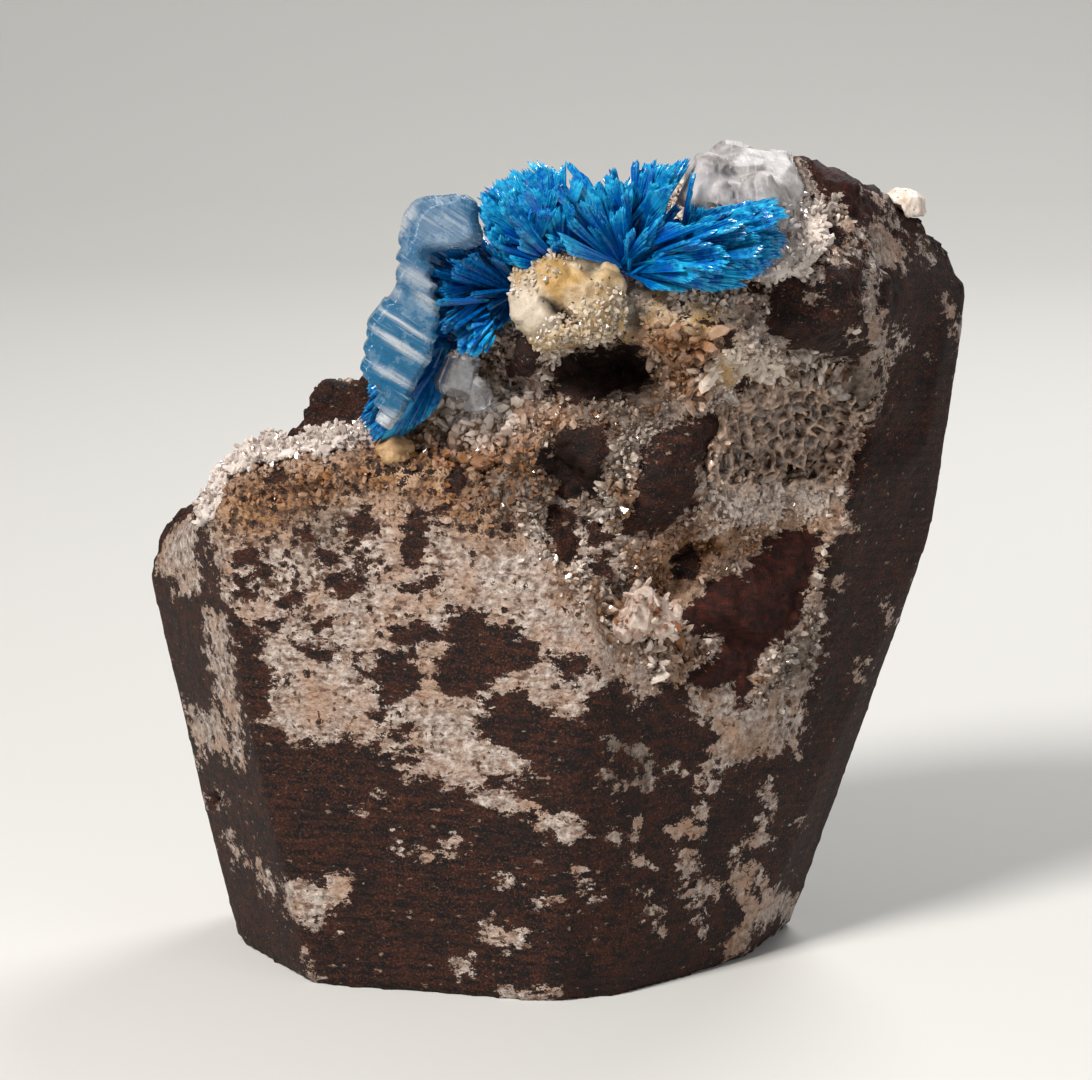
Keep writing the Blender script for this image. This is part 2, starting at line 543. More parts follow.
    # Saw marks are shallow arcs on the flat faces only, and cement has sugary facets.
    far = add(tree, "ShaderNodeVectorMath", {0: place, 1: SAW_MIDDLE}, operation="DISTANCE")
    bent = add(tree, MATH, {0: seen["broad"], 1: 0.8, 2: far.outputs["Value"]}, operation="MULTIPLY_ADD")
    arcs = add(tree, MATH, {0: add(tree, MATH, {0: bent, 1: SAW_WAVE}, operation="MULTIPLY")}, operation="SINE")
    flat = add(tree, RANGE, {0: seen["broken"], 3: 0.1, 4: 0.0})
    facets = add(tree, CELLS, {"Vector": place, "Scale": 2.6, "Randomness": 1.0})
    cemented = add(tree, RANGE, {0: seen["rock"], 1: -0.25, 2: 0.25, 3: 0.9, 4: 0.0})
    sugar = add(tree, MATH, {0: facets, 1: cemented}, operation="MULTIPLY")
    height = add(tree, MATH, {0: arcs, 1: flat, 2: sugar}, operation="MULTIPLY_ADD")
    for name, much in (("fine", 0.9), ("grain", 0.8)):
        height = add(tree, MATH, {0: seen[name], 1: much, 2: height}, operation="MULTIPLY_ADD")
    dress(tree, shader, surface, gloss, height, 0.85, 0.22)
    return made


# Faces turned to the eye by more than this are made finer, because the marks lie on them.
FACING_LEAST = 0.12
block_bm = remeshed(merged_copy("basalt_matrix"), BLOCK_GRAIN)
block_bm.normal_update()
facing = [
    face for face in block_bm.faces
    if (Vector(EYE) - face.calc_center_median()).normalized().dot(face.normal) > FACING_LEAST
]
bmesh.ops.subdivide_edges(block_bm, edges=list({e for f in facing for e in f.edges}), cuts=1, use_grid_fill=True)
bmesh.ops.smooth_vert(block_bm, verts=block_bm.verts, factor=0.4, use_axis_x=True, use_axis_y=True, use_axis_z=True)
points, normals = points_and_normals(block_bm)
to_eye = EYE - points
towards = np.sum(normals * to_eye, axis=1) / np.linalg.norm(to_eye, axis=1)
on_view = ramp(towards, 0.02, 0.16)
ragged = np.stack([lumps(points, 1.1, 3.0), lumps(points, 1.1, 9.0)], axis=1) * 4.0
spots = on_front(points) + ragged

seen_rock = np.full(len(points), 4.0)
for outline in CEMENT_AREAS.values():
    seen_rock = np.minimum(seen_rock, -depth_inside(spots, outline))
for outline in [*CLASTS.values(), *SMALL_CLASTS]:
    seen_rock = np.maximum(seen_rock, depth_inside(spots, outline))
for line, half_width in VEINS:
    seen_rock = np.minimum(seen_rock, to_edge(spots, line, False) - half_width * STEP)
for across, down, radius in SPOTS:
    seen_rock = np.minimum(seen_rock, np.linalg.norm(spots - (across, down), axis=1) * STEP - radius * STEP)
# The ledge's floor is cement and the ridge behind it rock.
on_ledge = ramp(points[:, 0], -26.0, -24.0) * ramp(points[:, 0], -6.0, -9.0) * ramp(points[:, 1], 7.5, 6.0)
on_ledge *= ramp(normals[:, 2], 1 / 3, 2 / 3) * (points[:, 2] > 30.0)
seen_rock = np.minimum(seen_rock, 3.0 - 5.0 * on_ledge)
behind = ramp(points[:, 1], 9.0, 10.0) * (points[:, 0] < -5.0) * (points[:, 2] > 33.0)
seen_rock = np.maximum(seen_rock, 4.0 * behind - 2.0)
# Away from the front nothing is known, so the breccia goes on as big clasts parted by cement veins.
clast_ground = lumps(points, 9.0, 21.0, 3) * 3.0 + 1.4
clast_gaps = np.abs(lumps(points, 7.5, 40.0, 2)) * 9.0 - 0.7
hidden_rock = np.minimum(clast_ground, clast_gaps)
rock = hidden_rock * (1.0 - on_view) + seen_rock * on_view

tints = {}
for name, areas, soft, most in (
    ("cream", CREAM_AREAS, 0.7, 1.0), ("tan", TAN_AREAS, 1.4, 1.0), ("grey", GREY_AREAS, 1.2, 1.0),
    ("red", RED_AREAS, 0.5, 1.0), ("hollow", DARK_HOLLOWS, 1.6, 0.55), ("pale", PALE_AREAS, 0.9, 1.0),
):
    tints[name] = share_inside(spots, areas.values(), soft) * on_view * most
tints["tan"] += (1.0 - on_view) * ramp(lumps(points, 6.0, 5.0), -0.2, 0.8) * 0.6
crumbs = np.max([share_inside(spots, [area], 1.0) * most for area, most in CRUMB_AREAS], axis=0) * on_view
broken_seen = share_inside(spots, [BROKEN_FRONT], 1.6)
broken_hidden = np.clip(normals[:, 2] * 1.4 + 0.1, 0.0, 1.0)
broken_hidden = np.maximum(broken_hidden, np.clip(normals[:, 1] * 1.5 - 0.3, 0.0, 1.0) * 0.7)
broken = broken_seen * on_view + broken_hidden * (1.0 - on_view)
cemented = ramp(rock, 0.0, -0.4)

heights = broken * (lumps(points, 1.9, 1.0, 3) * 0.42 + lumps(points, 0.7, 2.0) * 0.16)
heights += broken * cemented * (0.55 - np.abs(lumps(points, 0.9, 7.0)) * 1.1) * (0.6 + 0.4 * tints["cream"])
heights += broken * ramp(rock, 0.0, 0.5) * 0.28
sawn = lumps(points, 0.9, 12.0) * 0.035 - cemented * (0.05 + 0.07 * np.abs(lumps(points, 0.6, 8.0)))
heights += (1.0 - broken) * sawn
heights -= on_view * ramp(np.linalg.norm(spots - PIT, axis=1), PIT_RADIUS, 0.0) * PIT_DEPTH
move_out(block_bm, points, normals, heights * ramp(points[:, 2], 0.0, 0.6))
for vertex in block_bm.verts:
    vertex.co.z = max(vertex.co.z, 0.0)

block = as_object("breccia_block", block_bm)
keep_values(block.data, rock=rock, crumbs=crumbs, broken=broken, **tints)
druse_carrier = block.data.copy()
finish_piece(block, "basalt", "basalt_matrix", material=breccia_material())


# Druse: crusts of small clear to milky zeolite crystals that line the ledge, the pocket, the crest and the
# broken cement. Each crust is a thin bumpy sheet on the block, with pointed crystals grown out of it.
POCKET = GREY_AREAS["pocket"]
POCKET_FOOT = 478.0  # in steps down, where the pocket's white foot begins
WALL_SPACING = 1.3  # in mm, between the thin walls in the pocket
VEIN_LEFT, VEIN_FOOT = 852, 395  # in steps, the left side and the foot of the crisp vein at the right
CLEAR_AREAS = {
    "under the grey heulandite": [(415, 405), (440, 385), (500, 380), (535, 395), (535, 430), (500, 475), (440, 470)],
    "beside the tuft": [(468, 345), (505, 325), (515, 345), (500, 385), (470, 375)],
    "between the hollows": [(588, 432), (650, 425), (645, 450), (620, 510), (580, 520), (603, 470)],
    "above the pocket": [(755, 352), (790, 350), (860, 368), (885, 385), (860, 405), (790, 385), (760, 380)],
    "left rim of the pocket": [(686, 485), (702, 430), (738, 380), (748, 392), (722, 430), (704, 485)],
    "peach vug": [(590, 600), (640, 585), (680, 640), (680, 670), (630, 680), (595, 650)],
    "round the milky crystals": [(660, 330), (735, 330), (735, 350), (700, 400), (665, 395)],
    "under the crown": [(745, 262), (790, 225), (800, 180), (835, 205), (790, 235), (775, 275), (748, 285)],
}


def close_rings(bm, rings):
    """Walls between rings of points, one above the other, and a face at each end."""
    for low, high in zip(rings, rings[1:]):
        for k in range(len(low)):
            bm.faces.new((low[k], low[(k + 1) % len(low)], high[(k + 1) % len(low)], high[k]))
    bm.faces.new(list(reversed(rings[0])))
    bm.faces.new(rings[-1])


def crystal_seed(name, sides, width, thickness, height, top):
    """One small crystal: a flat column under a sloping cap, its foot at the origin."""
    bm = bmesh.new()
    rings = []
    for level, swell, slope in ((-0.3, 0.85, 0.0), (0.62, 1.0, 0.14), (1.0, top, 0.2)):
        rings.append([
            bm.verts.new((
                math.cos(a) * width / 2 * swell, math.sin(a) * thickness / 2 * swell,
                (level + slope * math.cos(a + 0.6)) * height,
            ))
            for a in (math.radians(360 * k / sides + 14 * (k % 2)) for k in range(sides))
        ])
    close_rings(bm, rings)
    bmesh.ops.recalc_face_normals(bm, faces=bm.faces)
    return as_object(name, bm, smooth=False)


def new_growth(name, inputs):
    """An empty Geometry Nodes tree with these named inputs."""
    tree = bpy.data.node_groups.new(name, "GeometryNodeTree")
    for label, kind in inputs:
        tree.interface.new_socket(label, in_out="INPUT", socket_type="NodeSocket" + kind)
    tree.interface.new_socket("Grown", in_out="OUTPUT", socket_type="NodeSocketGeometry")
    return tree, add(tree, "NodeGroupInput").outputs


def druse_tree():
    """Geometry Nodes: small crystals scattered over a surface, standing on it and leaning at random."""
    tree, given = new_growth("druse on a surface", (
        ("Surface", "Geometry"), ("Crystal", "Object"), ("Crystals per mm2", "Float"), ("Smallest", "Float"),
        ("Largest", "Float"), ("Lean", "Float"), ("Seed", "Int"), ("Material", "Material"),
    ))
    growth = add(tree, "GeometryNodeInputNamedAttribute", {"Name": "growth"}, data_type="FLOAT")
    density = add(tree, MATH, {0: growth, 1: given["Crystals per mm2"]}, operation="MULTIPLY")
    spread = add(tree, "GeometryNodeDistributePointsOnFaces", {
        "Mesh": given["Surface"], "Density": density, "Seed": given["Seed"],
    })
    upright = add(tree, "FunctionNodeAlignRotationToVector", {"Vector": spread.outputs["Normal"]}, axis="Z")
    backward = add(tree, MATH, {0: given["Lean"], 1: -1.0}, operation="MULTIPLY")
    low = add(tree, "ShaderNodeCombineXYZ", {0: backward, 1: backward, 2: -math.pi})
    high = add(tree, "ShaderNodeCombineXYZ", {0: given["Lean"], 1: given["Lean"], 2: math.pi})
    lean = add(tree, "FunctionNodeRandomValue", {0: low, 1: high, "Seed": given["Seed"]}, data_type="FLOAT_VECTOR")
    turned = add(tree, "FunctionNodeRotateRotation", {"Rotation": upright, "Rotate By": lean}, rotation_space="LOCAL")
    # Small crystals are the most common: a random share to the power of 2 sets the size.
    part = add(tree, "FunctionNodeRandomValue", {2: 0.0, 3: 1.0, "Seed": 11}, data_type="FLOAT")
    part = add(tree, MATH, {0: part, 1: 2.0}, operation="POWER")
    size = add(tree, RANGE, {0: part, 3: given["Smallest"], 4: given["Largest"]})
    placed = add(tree, "GeometryNodeInstanceOnPoints", {
        "Points": spread.outputs["Points"], "Rotation": turned, "Scale": size,
        "Instance": add(tree, "GeometryNodeObjectInfo", {"Object": given["Crystal"]}).outputs["Geometry"],
    })
    shade = add(tree, "FunctionNodeRandomValue", {2: 0.0, 3: 1.0, "Seed": 5}, data_type="FLOAT")
    marked = add(tree, "GeometryNodeStoreNamedAttribute", {
        "Geometry": placed, "Name": "shade", "Value": shade,
    }, data_type="FLOAT", domain="INSTANCE")
    whole = add(tree, "GeometryNodeRealizeInstances", {0: marked})
    done = add(tree, "GeometryNodeSetMaterial", {"Geometry": whole, "Material": given["Material"]})
    add(tree, "NodeGroupOutput", {0: done})
    return tree


def grown(name, tree, carrier, **values):
    """What a Geometry Nodes tree makes on a mesh, as a plain mesh object."""
    seeds = in_scene(name + " seeds", carrier)
    modifier = seeds.modifiers.new("growth", "NODES")
    modifier.node_group = tree
    sockets = {
        item.name.replace(" ", "_"): item.identifier for item in tree.interface.items_tree
        if item.item_type == "SOCKET" and item.in_out == "INPUT"
    }
    for label, value in values.items():
        modifier[sockets[label]] = value
    mesh = plain_mesh(seeds)
    mesh.name = name
    return in_scene(name, mesh)


def clear_crystal_material(name, dark, light, through, roughness, iron=0.0):
    # Zeolite crystals: colourless, glassy, clouded inside, so that some look dark and some milky, stained by iron.
    made, tree, shader, place = new_material(name, Roughness=roughness, IOR=1.5, Transmission_Weight=through)
    # Where the cement under them is tan, grey, cream or white, so are they.
    under = {"tan": (0.8, "#a06c42"), "grey": (0.5, "#4c3d33"), "cream": (0.6, "#d9c6a6"), "pale": (0.75, "#f8ebe0")}
    kept = {key: add(tree, STORED, attribute_name=key).outputs["Fac"] for key in ("shade", *under)}
    cloud = add(tree, NOISE, {"Vector": place, "Scale": 2.0, "Detail": 3.0, "Roughness": 0.55})
    stain = add(tree, NOISE, {"Vector": place, "Scale": 0.4, "Detail": 4.0, "Roughness": 0.6})
    share = add(tree, RANGE, {0: cloud, 1: 0.34, 2: 0.66, 3: -0.3, 4: 0.4})
    share = add(tree, MATH, {
        0: add(tree, RANGE, {0: kept["shade"], 1: 0.12, 2: 0.88}), 1: 0.95, 2: share,
    }, operation="MULTIPLY_ADD")
    body = add(tree, MIX, {0: share, 6: linear(dark), 7: linear(light)}, data_type="RGBA")
    body = laid_over(tree, body, "#8f643f", stain, 0.5, 0.62, iron)
    for key, (most, colour) in under.items():
        body = laid_over(tree, body, colour, kept[key], 0.0, 1.0, most)
    dress(tree, shader, body)
    return made


def joined(name, first, *others):
    """Several objects of one piece as one object."""
    with bpy.context.temp_override(active_object=first, selected_editable_objects=[first, *others]):
        bpy.ops.object.join()
    first.name = name
    first.data.name = name
    return first


sugar = crystal_seed("sugar seed", 4, 0.9, 0.75, 0.8, 0.55)
tablet = crystal_seed("tablet seed", 6, 0.95, 0.7, 1.1, 0.62)
growing = druse_tree()
front_crystals = clear_crystal_material(
    "zeolite druse of the broken front", "#46311f", "#f4e4d6", through=0.22, roughness=0.07, iron=0.75,
)

# The block's own points serve as the ground. Nothing grows in the crisp vein at the right, little on crumbs.
ground = broken * cemented * (0.3 + 0.7 * on_view) * (points[:, 2] > 3.0)
ground *= np.clip((VEIN_LEFT - spots[:, 0]) / 8.0 + (spots[:, 1] > VEIN_FOOT), 0.0, 1.0)
patchy = np.clip(0.6 + lumps(points, 2.2, 14.0) * 1.4, 0.05, 1.0)
in_pocket = share_inside(spots, [POCKET], 0.8)
clear_ground = ground * share_inside(spots, CLEAR_AREAS.values(), 0.8) * on_view
sugar_ground = ground * patchy * (1.0 - 0.8 * in_pocket) * (1.0 - 0.55 * tints["cream"]) * (1.0 - 0.6 * crumbs)
keep_values(druse_carrier, growth=sugar_ground)
sugar_grains = grown(
    "sugar grains", growing, druse_carrier, Crystal=sugar, Crystals_per_mm2=14.0, Smallest=0.16, Largest=0.6,
    Lean=1.0, Seed=4, Material=front_crystals,
)
keep_values(druse_carrier, growth=clear_ground)
clear_tablets = grown(
    "clear tablets", growing, druse_carrier, Crystal=tablet, Crystals_per_mm2=2.0, Smallest=0.4, Largest=1.15,
    Lean=0.9, Seed=14, Material=front_crystals,
)
front_druse = joined("front_druse", sugar_grains, clear_tablets)
finish_piece(front_druse, "grey_druse")


def finish_grown(name, base, slot, node, material, **values):
    """Grows small crystals on a piece where its growth value is above 0, and finishes both as one."""
    crystals = grown(name + " crystals", growing, base.data.copy(), **values)
    base.data.materials.append(material)
    finish_piece(joined(name, base, crystals), slot, node)


def crust(name, node, slot, grain, relief, material, per_mm2, smallest, largest, seed):
    """A crust on the block: the CAD sheet made finer and bumpy, with crystals over it."""
    bm = remeshed(merged_copy(node), grain)
    points, normals = points_and_normals(bm)
    outward = np.clip(normals[:, 2] * 0.7 - normals[:, 1] * 0.8 + 0.2, 0.0, 1.0)
    heights, shade, growth, pale = relief(points)
    move_out(bm, points, normals, heights)
    sheet = as_object(name + " sheet", bm)
    keep_values(
        sheet.data, growth=growth * outward, shade=np.clip(shade, 0.0, 1.0), pale=np.clip(pale, 0.0, 1.0),
    )
    finish_grown(
        name, sheet, slot, node, material, Crystal=sugar, Crystals_per_mm2=per_mm2, Smallest=smallest,
        Largest=largest, Lean=0.8, Seed=seed, Material=material,
    )


def sugary(across, dip, paleness):
    """The relief of a crust that is sugary all over, and whose edge dips into the block by this much."""
    def relief(points):
        low, high = points.min(axis=0), points.max(axis=0)
        outward = np.linalg.norm((points * 2.0 - low - high)[:, across] / (high - low)[across], axis=1)
        points += ramp(outward, 0.75, 0.97)[:, None] * dip
        heights = lumps(points, 1.0, 3.0) * 0.2 + lumps(points, 0.45, 5.0) * 0.1
        shade = 0.6 + lumps(points, 0.9, 6.0) * 0.5
        return heights, shade, np.ones(len(points)), paleness + lumps(points, 1.6, 8.0) * 0.5
    return relief


def honeycomb(points):
    """The relief of the pocket's crust: a net of thin walls, and white and sugary at its foot and rim."""
    near = np.array([noise.voronoi(Vector(point) / WALL_SPACING)[0][:2] for point in points])
    walls = np.exp(-((near[:, 1] - near[:, 0]) / 0.17) ** 2)
    spots = on_front(points) + lumps(points, 1.5, 2.0)[:, None] * 12.0
    low = ramp(spots[:, 1], POCKET_FOOT, POCKET_FOOT + 14.0)
    inside = depth_inside(spots, POCKET)
    rim = np.maximum(low, ramp(inside, 1.3, 0.0))
    heights = (1.0 - rim) * (0.5 * walls - 0.3) + lumps(points, 0.6, 4.0) * (0.06 + 0.16 * rim)
    # The rim dips into the block, so that no edge of the crust stands open.
    points[:, 1] += 1.1 * ramp(inside, 0.7, -0.3)
    shade = 0.55 * walls * (1.0 - rim) + 0.45 * rim + 0.45 * low + lumps(points, 1.6, 9.0) * 0.25
    return heights, shade, 0.12 + 0.6 * rim + 0.4 * low, low * (0.7 + lumps(points, 1.2, 5.0) * 0.6)


white_crystals = clear_crystal_material("white zeolite druse", "#87726a", "#e6dad1", through=0.22, roughness=0.08)
grey_crystals = clear_crystal_material("grey zeolite druse", "#3d2718", "#dcbda6", through=0.2, roughness=0.1)
crust(
    "ledge_crust", "ledge_druse", "white_druse", 0.3, sugary([0, 1], (0.0, 0.7, -1.0), 0.4), white_crystals,
    per_mm2=9.0, smallest=0.2, largest=0.6, seed=6,
)
crust(
    "crest_crust", "crest_druse", "white_druse", 0.25, sugary([0, 2], (0.0, 0.8, 0.0), 0.8), white_crystals,
    per_mm2=8.0, smallest=0.2, largest=0.65, seed=7,
)
crust(
    "pocket_crust", "pocket_druse", "grey_druse", 0.17, honeycomb, grey_crystals,
    per_mm2=10.0, smallest=0.18, largest=0.55, seed=8,
)


# Cavansite: radiating sprays of thin, flat, vivid blue blades with chisel ends. They grow from a few middles on
# the crest, packed side by side in bundles, and the stilbite and the cream ball grew against them.

# A spray has its centre in mm, how far its bundles lean forward and back in degrees, its shades from dark to light,
# its knots (place from the centre, number of bundles, first and last angle) and its outline (angle, reach in mm).
SPRAYS = {
    "cavansite_rosette": {
        "centre": (5.4, -5.6, 51.0), "lean": (58.0, 40.0), "shades": (0.25, 1.0),
        "knots": [
            ((0.0, 0.0, 0.0), 150, (-30, 186)), ((1.5, -0.6, 0.8), 70, (-12, 34)), ((-4.4, -1.2, 0.6), 60, (70, 200)),
            ((-6.6, -1.0, 0.4), 34, (60, 210)), ((0.5, -0.5, 2.5), 30, (45, 135)), ((3.6, -0.4, 1.0), 24, (20, 80)),
        ],
        "outline": [
            (-30, 3.6), (-16, 6.0), (-8, 8.8), (3, 10.8), (14, 11.8), (22, 12.4), (29, 11.0), (38, 7.4), (48, 6.6),
            (60, 9.9), (70, 8.3), (85, 8.0), (100, 7.2), (111, 6.3), (117, 8.4), (126, 9.7), (135, 10.6),
            (150, 11.4), (160, 11.2), (170, 9.8), (180, 7.0), (186, 5.0),
        ],
    },
    "cavansite_left_spray": {
        "centre": (-1.9, -5.4, 49.4), "lean": (50.0, 40.0), "shades": (0.0, 0.2),
        "knots": [
            ((0.0, 0.0, 0.0), 90, (100, 244)), ((-1.6, -0.8, 0.3), 40, (120, 250)),
            ((-3.0, 1.2, 0.2), 30, (110, 235)),
        ],
        "outline": [
            (100, 2.8), (128, 5.2), (140, 6.6), (152, 8.0), (160, 8.1), (172, 7.3), (186, 6.7), (203, 6.6),
            (219, 6.4), (232, 4.7), (244, 3.0),
        ],
    },
    "cavansite_lower_spray": {
        "centre": (-6.4, -4.4, 46.0), "lean": (12.0, 30.0), "shades": (0.0, 0.3),
        "knots": [((0.0, 0.0, 0.0), 76, (120, 262))],
        "outline": [
            (120, 2.4), (176, 4.6), (190, 6.2), (205, 6.8), (216, 8.0), (226, 9.8), (233, 10.2), (241, 8.8),
            (252, 6.2), (262, 3.8),
        ],
    },
    "cavansite_tuft": {
        "centre": (-3.7, -7.6, 47.6), "lean": (50.0, 40.0), "shades": (0.55, 0.85),
        "knots": [((0.0, 0.0, 0.0), 36, (180, 262))],
        "outline": [(180, 1.8), (205, 2.6), (224, 3.6), (240, 3.2), (262, 2.0)],
    },
}
BUNDLE_BLADES = 9
BUNDLE_SPREAD = 5.0
BLADE_THICKNESS = 0.3
LONGEST_BLADE = 15.0
FOREMOST = -11.1


def reach_at(outline, angle):
    """How far a spray reaches at an angle in the front plane."""
    turned = angle % 360.0
    if turned > outline[-1][0]:
        turned -= 360.0
    return float(np.interp(turned, [a for a, _ in outline], [r for _, r in outline]))


def blade_seed():
    """One blade of unit length along Z and unit width: flat, wider and wider to its slanted chisel end."""
    bm = bmesh.new()
    along = bm.verts.layers.float.new("along")
    rings = []
    for level, width, thickness, slant in (
        (0.0, 0.2, 0.5, 0.0), (0.5, 0.65, 0.9, 0.0), (0.955, 1.06, 1.0, 0.02), (1.0, 0.72, 0.25, 0.05),
    ):
        ring = []
        for x, y in ((-0.5, -0.1), (-0.12, -0.5), (0.5, -0.1), (0.12, 0.5)):
            vertex = bm.verts.new((x * width, y * thickness, level + x * slant))
            vertex[along] = level
            ring.append(vertex)
        rings.append(ring)
    close_rings(bm, rings)
    bmesh.ops.recalc_face_normals(bm, faces=bm.faces)
    return as_object("blade seed", bm, smooth=False)


def blade_tree():
    """Geometry Nodes: one blade on each point, turned and sized by what the point holds."""
    tree, given = new_growth("radiating blades", (
        ("Points", "Geometry"), ("Blade", "Object"), ("Thickness", "Float"), ("Material", "Material"),
    ))
    held = {}
    for name, kind in (("turn", "FLOAT_VECTOR"), ("reach", "FLOAT"), ("breadth", "FLOAT")):
        held[name] = add(tree, "GeometryNodeInputNamedAttribute", {"Name": name}, data_type=kind)
    size = add(tree, "ShaderNodeCombineXYZ", {0: held["breadth"], 1: given["Thickness"], 2: held["reach"]})
    placed = add(tree, "GeometryNodeInstanceOnPoints", {
        "Points": add(tree, "GeometryNodeMeshToPoints", {"Mesh": given["Points"]}), "Scale": size,
        "Rotation": add(tree, "FunctionNodeEulerToRotation", {0: held["turn"]}),
        "Instance": add(tree, "GeometryNodeObjectInfo", {"Object": given["Blade"]}).outputs["Geometry"],
    })
    whole = add(tree, "GeometryNodeRealizeInstances", {0: placed})
    done = add(tree, "GeometryNodeSetMaterial", {"Geometry": whole, "Material": given["Material"]})
    add(tree, "NodeGroupOutput", {0: done})
    return tree


def room_for(outline, centre, root, way):
    """How long a blade may grow from its root before it leaves its spray's outline."""
    longest = 0.3
    for length in np.arange(0.4, LONGEST_BLADE, 0.2):
        end = root + way * length - centre
        if math.hypot(end.x, end.z) > reach_at(outline, math.degrees(math.atan2(end.z, end.x))):
            break
        longest = length
    return longest


def spray_points(seed, centre, lean, shades, knots, outline):
    """The feet, turns and sizes of a spray's blades, in flat bundles of blades side by side round a few knots."""
    chance = random.Random(seed)
    centre = Vector(centre)
    feet, turns, reaches, breadths, tones = [], [], [], [], []
    bundles = []
    for offset, count, (first, last) in knots:
        angles = np.linspace(first, last, 200)
        weights = [reach_at(outline, a) for a in angles]
        bundles += [(Vector(offset), angle) for angle in chance.choices(angles, weights, k=count)]
    for offset, angle in bundles:
        tilt = chance.triangular(-lean[0], lean[1], -10.0)
        shade = chance.uniform(*shades)
        longest = 1.0 - 0.34 * chance.random() ** 1.5
        cut = chance.uniform(-0.06, 0.06)
        spread = BUNDLE_SPREAD * chance.uniform(0.6, 1.5)
        start = chance.uniform(0.03, 0.25)
        a, t = math.radians(angle), math.radians(tilt)
        middle = Vector((math.cos(t) * math.cos(a), math.sin(t), math.cos(t) * math.sin(a)))
        side = middle.cross(Vector((0.0, -1.0, 0.0))).normalized()
        side = Matrix.Rotation(chance.gauss(0.0, 0.7), 3, middle) @ side
        # Bundles that grew on a neighbour start a little off the middle.
        root = centre + offset + Vector([chance.gauss(0.0, 0.3) for axis in range(3)])
        for blade in range(BUNDLE_BLADES):
            across = (blade + 0.5) / BUNDLE_BLADES * 2.0 - 1.0
            off = math.radians(spread * across)
            way = (middle * math.cos(off) + side * math.sin(off)).normalized()
            face = way.cross(side).normalized()
            way = (way + face * chance.uniform(-0.02, 0.02)).normalized()
            seen = math.degrees(math.atan2(way.z, way.x))
            leant = math.degrees(math.asin(way.y))
            shorter = 1.0 - 0.25 * max(0.0, leant) / 90.0 - 0.3 * max(0.0, -leant) / 45.0
            reach = min(room_for(outline, centre, root, way), reach_at(outline, seen))
            reach *= shorter * (longest - abs(cut) + cut * across) * chance.uniform(0.96, 1.0)
            if way.y < 0.0:
                reach = min(reach, (FOREMOST - root.y) / way.y)
            in_bundle = Matrix((way.cross(face).normalized(), face, way)).transposed()
            if in_bundle.determinant() < 0.0:
                in_bundle = Matrix((face.cross(way).normalized(), face, way)).transposed()
            in_bundle = in_bundle @ Matrix.Rotation(chance.uniform(-0.35, 0.35), 3, "Z")
            feet.append(root + way * reach * start)
            turns.append(tuple(in_bundle.to_euler()))
            reaches.append(reach * (1.0 - start))
            breadths.append(2.0 * math.radians(spread) / BUNDLE_BLADES * reach * chance.uniform(1.2, 1.9))
            tones.append(min(1.0, max(0.0, shade + chance.uniform(-0.12, 0.12))))
    mesh = bpy.data.meshes.new("feet")
    mesh.from_pydata(feet, [], [])
    turn = mesh.attributes.new("turn", "FLOAT_VECTOR", "POINT")
    turn.data.foreach_set("vector", np.array(turns, np.float32).ravel())
    keep_values(mesh, reach=reaches, breadth=breadths, shade=tones)
    return mesh


def cavansite_material():
    # Cavansite, a blue vanadium silicate: vivid blue, glassy to pearly, fibrous, paler and greener where thin.
    made, tree, shader, place = new_material("cavansite, vivid blue", IOR=1.55, Specular_IOR_Level=0.35)
    kept = {key: add(tree, STORED, attribute_name=key).outputs["Fac"] for key in ("shade", "along")}
    fibre = add(tree, NOISE, {"Vector": place, "Scale": 3.3, "Detail": 3.0, "Roughness": 0.6})
    broad = add(tree, NOISE, {"Vector": place, "Scale": 0.45, "Detail": 2.0})
    share = add(tree, RANGE, {0: fibre, 3: -0.35, 4: 0.55})
    share = add(tree, MATH, {0: kept["shade"], 1: 0.75, 2: share}, operation="MULTIPLY_ADD")
    body = add(tree, MIX, {0: share, 6: linear("#013670"), 7: linear("#0785cf")}, data_type="RGBA")
    for low, high, most, colour in ((0.5, 0.58, 0.8, "#0459b6"), (0.44, 0.36, 0.7, "#24b2e0")):
        patch = add(tree, RANGE, {0: broad, 1: low, 2: high, 4: most})
        patch = add(tree, MATH, {0: patch, 1: add(tree, RANGE, {0: kept["shade"], 2: 0.4})}, operation="MULTIPLY")
        body = add(tree, MIX, {0: patch, 6: body, 7: linear(colour)}, data_type="RGBA")
    thin = add(tree, MATH, {
        0: add(tree, RANGE, {0: kept["along"], 1: 0.7, 2: 1.05}), 1: add(tree, RANGE, {0: fibre, 1: 0.4, 2: 0.6}),
    }, operation="MULTIPLY")
    thin = add(tree, MATH, {0: thin, 1: add(tree, RANGE, {0: kept["shade"], 3: 0.2})}, operation="MULTIPLY")
    body = add(tree, MIX, {0: thin, 6: body, 7: linear("#35c3dd")}, data_type="RGBA")
    dress(tree, shader, body, add(tree, RANGE, {0: fibre, 3: 0.04, 4: 0.24}), fibre, 0.4, 0.08)
    return made


blade = blade_seed()
radiating = blade_tree()
cavansite = cavansite_material()
for order, (node, facts) in enumerate(SPRAYS.items()):
    spray = grown(
        node.replace("cavansite", "blades_of"), radiating, spray_points(31 + order, **facts), Blade=blade,
        Thickness=BLADE_THICKNESS, Material=cavansite,
    )
    finish_piece(spray, "cavansite", node)
bpy.data.objects.remove(blade)


